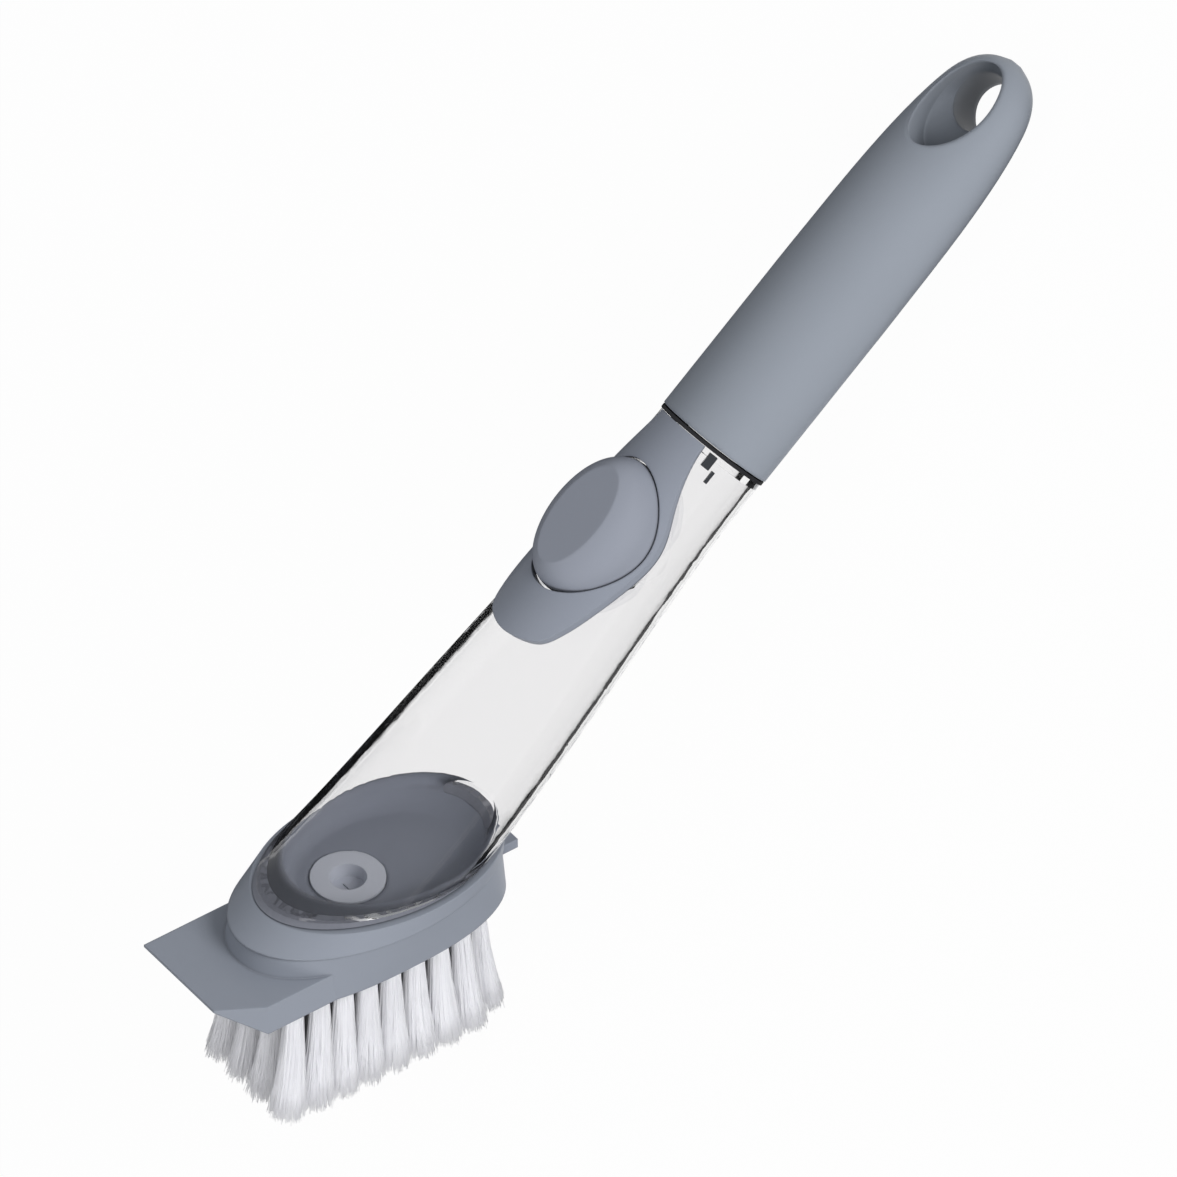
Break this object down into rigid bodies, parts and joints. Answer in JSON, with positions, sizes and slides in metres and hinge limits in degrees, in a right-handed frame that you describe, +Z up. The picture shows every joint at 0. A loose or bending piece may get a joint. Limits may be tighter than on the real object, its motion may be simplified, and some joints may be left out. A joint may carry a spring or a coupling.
{
  "type": "soap dispensing dish wand",
  "caption": "Handheld dish brush with a clear soap reservoir, thumb pump button, twist-off handle cap, scraper edge and tufted pull-off head.",
  "frame": {"origin": "middle of the outline on the surface that the wand lies on", "axes": "+X towards the handle's end, +Z up; the wand lies on its bristles and its handle"},
  "size_m": [0.2976, 0.0456, 0.0898],
  "materials": {
    "clear_plastic": "clear polished",
    "black_rubber": "matte",
    "grey_rubber": "matte",
    "dark_plastic": "satin",
    "grey_plastic": "satin",
    "grey_soft": "matte soft touch",
    "silicone": "matte translucent",
    "nylon": "fine filaments",
    "staple_wire": "drawn wire"
  },
  "bodies": {
    "reservoir": {"reservoir_tube": "clear_plastic", "neck_seal": "black_rubber", "lock_lug": "dark_plastic", "lock_tick": "dark_plastic", "pump_saddle": "grey_plastic", "pump_diaphragm": "silicone", "base_dish": "dark_plastic", "base_seal": "grey_rubber", "head_seal": "black_rubber", "outlet_valve": "silicone", "release_tongue": "grey_plastic"},
    "button": {"pump_button": "grey_soft"},
    "handle": {"handle_grip": "grey_soft", "handle_socket": "grey_plastic", "neck_stopper": "grey_plastic", "stopper_seal": "black_rubber"},
    "head": {"head_shell": "grey_plastic", "tuft_staples": "staple_wire", "bristle_row_1": "nylon", "bristle_row_2": "nylon", "bristle_row_3": "nylon", "bristle_row_4": "nylon", "bristle_row_5": "nylon", "bristle_row_6": "nylon", "bristle_row_7": "nylon", "bristle_row_8": "nylon", "bristle_row_9": "nylon"}
  },
  "joints": [
    {"name": "button_press", "type": "slide", "parent": "reservoir", "child": "button", "axis": [-0.1918, 0, -0.9814], "range_m": [0, 0.003], "stiffness_N_per_m": 800, "deforming": ["pump_diaphragm"]},
    {"name": "handle_twist", "type": "hinge", "parent": "reservoir", "child": "handle", "pos_m": [0.03725, 0, 0.02899], "axis": [0.9814, 0, -0.1918], "range_deg": [0, 60]},
    {"name": "head_pull_off", "type": "slide", "parent": "reservoir", "child": "head", "axis": [-0.7712, 0, -0.6366], "range_m": [0, 0.03], "deforming": ["release_tongue"]}
  ]
}
